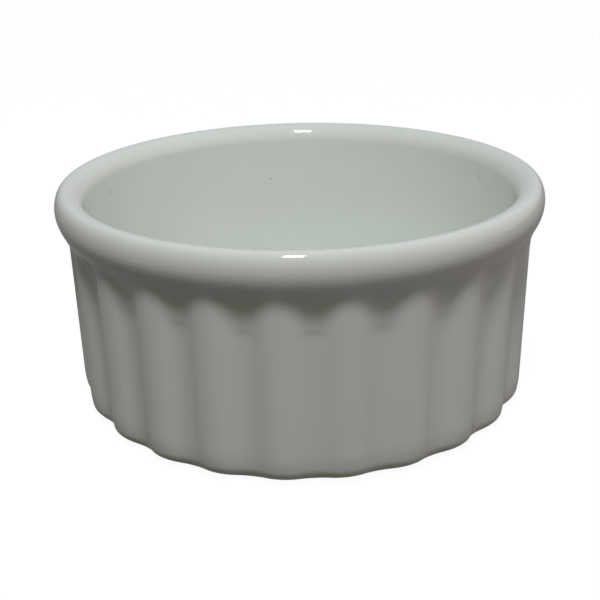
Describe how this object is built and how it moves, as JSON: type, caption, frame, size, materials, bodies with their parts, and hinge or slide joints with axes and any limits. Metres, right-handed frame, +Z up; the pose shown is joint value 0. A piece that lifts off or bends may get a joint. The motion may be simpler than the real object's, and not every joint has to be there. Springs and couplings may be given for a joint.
{
  "type": "ramekin",
  "caption": "Small round white porcelain baking dish with a rounded overhanging rim, ribbed outer wall, smooth drafted inside and a bare foot ring.",
  "frame": {"origin": "centre of the foot ring, on the plane the dish stands on", "axes": "+Z up along the dish's axis, -Y towards the front as pictured, +X to the right"},
  "size_m": [0.09, 0.09, 0.0414],
  "materials": {
    "porcelain": "unglazed, fine matt",
    "glaze": "glossy clear-white glaze"
  },
  "bodies": {
    "root": {"porcelain_body": "porcelain", "glaze_coat": "glaze", "base_glaze": "glaze"}
  },
  "joints": []
}
